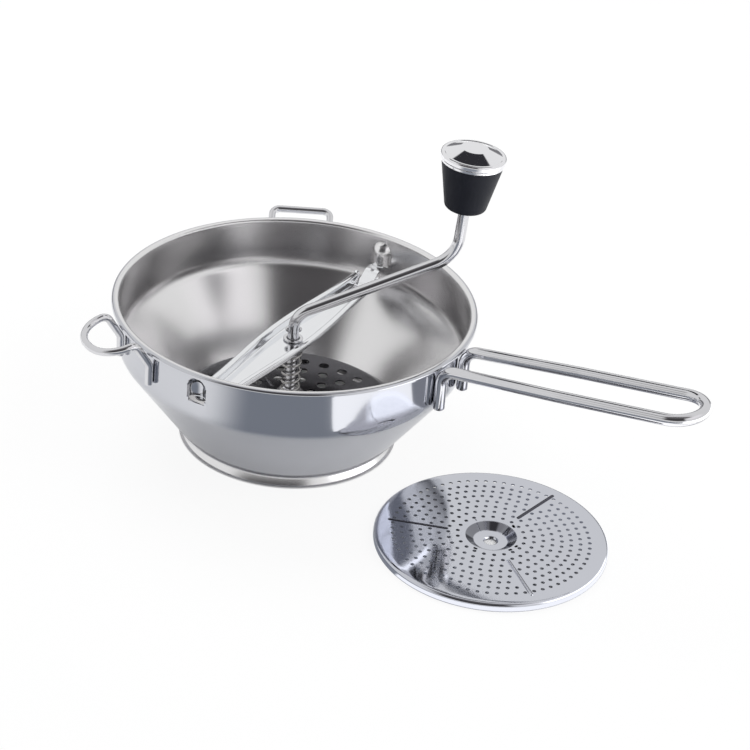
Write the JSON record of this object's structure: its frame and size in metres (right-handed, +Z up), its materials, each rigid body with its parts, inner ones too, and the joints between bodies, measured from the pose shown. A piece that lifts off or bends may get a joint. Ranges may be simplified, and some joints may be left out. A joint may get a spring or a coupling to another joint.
{
  "type": "food mill",
  "caption": "Steel food mill: round hopper on a foot ring, long wire handle, twist-in crossbar, sprung crank with a black knob, and a spare disc beside it.",
  "frame": {"origin": "middle of the plan of the whole set, on the table it stands on", "axes": "+Z up along the hopper's axis, +X towards the tip of the long handle"},
  "size_m": [0.3502, 0.2246, 0.1809],
  "materials": {
    "brushed_steel": "satin",
    "polished_steel": "polished",
    "spring_steel": "bright drawn wire",
    "soft_black": "matt soft touch"
  },
  "bodies": {
    "bowl": {"bowl_shell": "brushed_steel", "long_handle": "polished_steel", "left_rest_loop": "polished_steel", "rear_rest_loop": "polished_steel", "fitted_disc": "polished_steel"},
    "bar": {"crossbar": "polished_steel", "top_washer": "polished_steel", "upper_spring_washer": "polished_steel"},
    "spring_seat": {"lower_spring_washer": "polished_steel", "spring": "spring_steel"},
    "crank": {"crank_rod": "polished_steel", "stop_pin": "polished_steel", "scraper_blade": "brushed_steel", "blade_hub": "brushed_steel", "pilot_nut": "polished_steel", "knob_clip": "polished_steel"},
    "knob": {"knob_body": "soft_black", "knob_bush": "polished_steel", "knob_cap": "polished_steel"},
    "spare": {"spare_disc": "polished_steel"}
  },
  "joints": [
    {"name": "crossbar_twist", "type": "hinge", "parent": "bowl", "child": "bar", "pos_m": [-0.07311, 0.00411, 0.0596], "axis": [0, 0, 1], "range_deg": [0, 35]},
    {"name": "blade_lift", "type": "slide", "parent": "bar", "child": "spring_seat", "axis": [0, 0, 1], "range_m": [0, 0.006], "stiffness_N_per_m": 1500, "springref_m": -0.012, "deforming": ["spring"]},
    {"name": "crank_turn", "type": "hinge", "parent": "spring_seat", "child": "crank", "pos_m": [-0.07311, 0.00411, 0.0596], "axis": [0, 0, 1], "continuous": true},
    {"name": "knob_spin", "type": "hinge", "parent": "crank", "child": "knob", "pos_m": [-0.00047, 0.05689, 0.1441], "axis": [0.0508, 0.0369, 0.998], "continuous": true},
    {"name": "spare_disc_lift", "type": "slide", "parent": "bowl", "child": "spare", "axis": [0, 0, 1], "range_m": [0, 0.03]}
  ]
}
